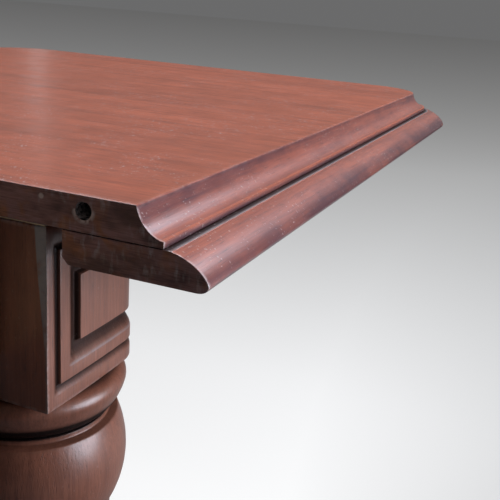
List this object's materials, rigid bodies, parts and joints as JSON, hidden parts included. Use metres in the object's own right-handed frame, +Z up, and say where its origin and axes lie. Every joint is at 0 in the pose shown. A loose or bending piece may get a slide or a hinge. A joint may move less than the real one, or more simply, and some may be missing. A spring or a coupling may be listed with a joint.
{
  "type": "extending dining table",
  "caption": "Mahogany dining table on turned legs with castors; two moulded half-tops slide apart on bearers to take loose leaves.",
  "frame": {"origin": "on the floor under the middle of the table", "axes": "+X along the table, the way the socket half slides out; +Y across it; +Z up"},
  "size_m": [2.9256, 0.9336, 0.735],
  "materials": {
    "mahogany_top": "french polished, worn",
    "mahogany_moulding": "french polished, worn",
    "mahogany_leg": "french polished",
    "beech_frame": "unpolished",
    "rub_strip": "unpolished",
    "brass": "tarnished",
    "steel": "dull",
    "castor_china": "glazed"
  },
  "bodies": {
    "base": {"leg_socket_right": "mahogany_leg", "leg_socket_left": "mahogany_leg", "leg_dowel_right": "mahogany_leg", "leg_dowel_left": "mahogany_leg", "rub_strip_socket_right": "rub_strip", "rub_strip_socket_left": "rub_strip", "rub_strip_dowel_right": "rub_strip", "rub_strip_dowel_left": "rub_strip", "side_rail_right": "beech_frame", "side_rail_left": "beech_frame", "end_rail_socket": "beech_frame", "end_rail_dowel": "beech_frame", "guide_right": "beech_frame", "guide_left": "beech_frame", "centre_rail": "beech_frame", "castor_cup_socket_right": "brass", "castor_cup_socket_left": "brass", "castor_cup_dowel_right": "brass", "castor_cup_dowel_left": "brass"},
    "socket_half": {"socket_half_board": "mahogany_top", "socket_half_rim_right": "mahogany_moulding", "socket_half_rim_left": "mahogany_moulding", "socket_half_rim_end": "mahogany_moulding", "socket_half_bearer_right": "beech_frame", "socket_half_bearer_left": "beech_frame", "socket_half_stop_right": "beech_frame", "socket_half_stop_left": "beech_frame", "socket_half_cross_batten": "beech_frame", "catch_screw_right": "steel", "catch_screw_left": "steel"},
    "dowel_half": {"dowel_half_board": "mahogany_top", "dowel_half_rim_right": "mahogany_moulding", "dowel_half_rim_left": "mahogany_moulding", "dowel_half_rim_end": "mahogany_moulding", "dowel_half_bearer_right": "beech_frame", "dowel_half_bearer_left": "beech_frame", "dowel_half_stop_right": "beech_frame", "dowel_half_stop_left": "beech_frame", "dowel_half_cross_batten": "beech_frame", "dowel_right": "rub_strip", "dowel_middle": "rub_strip", "dowel_left": "rub_strip", "keeper_screw_right": "steel", "keeper_screw_left": "steel"},
    "hook_right": {"catch_right": "brass"},
    "hook_left": {"catch_left": "brass"},
    "fork_socket_right": {"castor_fork_socket_right": "brass", "castor_axle_socket_right": "steel"},
    "fork_socket_left": {"castor_fork_socket_left": "brass", "castor_axle_socket_left": "steel"},
    "fork_dowel_right": {"castor_fork_dowel_right": "brass", "castor_axle_dowel_right": "steel"},
    "fork_dowel_left": {"castor_fork_dowel_left": "brass", "castor_axle_dowel_left": "steel"},
    "wheel_socket_right": {"castor_wheel_socket_right": "castor_china"},
    "wheel_socket_left": {"castor_wheel_socket_left": "castor_china"},
    "wheel_dowel_right": {"castor_wheel_dowel_right": "castor_china"},
    "wheel_dowel_left": {"castor_wheel_dowel_left": "castor_china"}
  },
  "joints": [
    {"name": "socket_half_slide", "type": "slide", "parent": "base", "child": "socket_half", "axis": [1, 0, 0], "range_m": [-0.4797, 0]},
    {"name": "dowel_half_slide", "type": "slide", "parent": "base", "child": "dowel_half", "axis": [-1, 0, 0], "range_m": [-0.4797, 0]},
    {"name": "catch_right_turn", "type": "hinge", "parent": "socket_half", "child": "hook_right", "pos_m": [0.494, -0.0521, 0.7074], "axis": [0, 0, 1], "range_deg": [0, 180]},
    {"name": "catch_left_turn", "type": "hinge", "parent": "socket_half", "child": "hook_left", "pos_m": [0.494, 0.0521, 0.7074], "axis": [0, 0, 1], "range_deg": [-180, 0]},
    {"name": "swivel_socket_right", "type": "hinge", "parent": "base", "child": "fork_socket_right", "pos_m": [0.5495, -0.2757, 0.048], "axis": [0, 0, 1], "continuous": true},
    {"name": "swivel_socket_left", "type": "hinge", "parent": "base", "child": "fork_socket_left", "pos_m": [0.5495, 0.2757, 0.048], "axis": [0, 0, 1], "continuous": true},
    {"name": "swivel_dowel_right", "type": "hinge", "parent": "base", "child": "fork_dowel_right", "pos_m": [-0.5495, 0.2757, 0.048], "axis": [0, 0, 1], "continuous": true},
    {"name": "swivel_dowel_left", "type": "hinge", "parent": "base", "child": "fork_dowel_left", "pos_m": [-0.5495, -0.2757, 0.048], "axis": [0, 0, 1], "continuous": true},
    {"name": "roll_socket_right", "type": "hinge", "parent": "fork_socket_right", "child": "wheel_socket_right", "pos_m": [0.5655, -0.2757, 0.02], "axis": [0, 1, 0], "continuous": true},
    {"name": "roll_socket_left", "type": "hinge", "parent": "fork_socket_left", "child": "wheel_socket_left", "pos_m": [0.5655, 0.2757, 0.02], "axis": [0, 1, 0], "continuous": true},
    {"name": "roll_dowel_right", "type": "hinge", "parent": "fork_dowel_right", "child": "wheel_dowel_right", "pos_m": [-0.5655, 0.2757, 0.02], "axis": [0, 1, 0], "continuous": true},
    {"name": "roll_dowel_left", "type": "hinge", "parent": "fork_dowel_left", "child": "wheel_dowel_left", "pos_m": [-0.5655, -0.2757, 0.02], "axis": [0, 1, 0], "continuous": true}
  ]
}
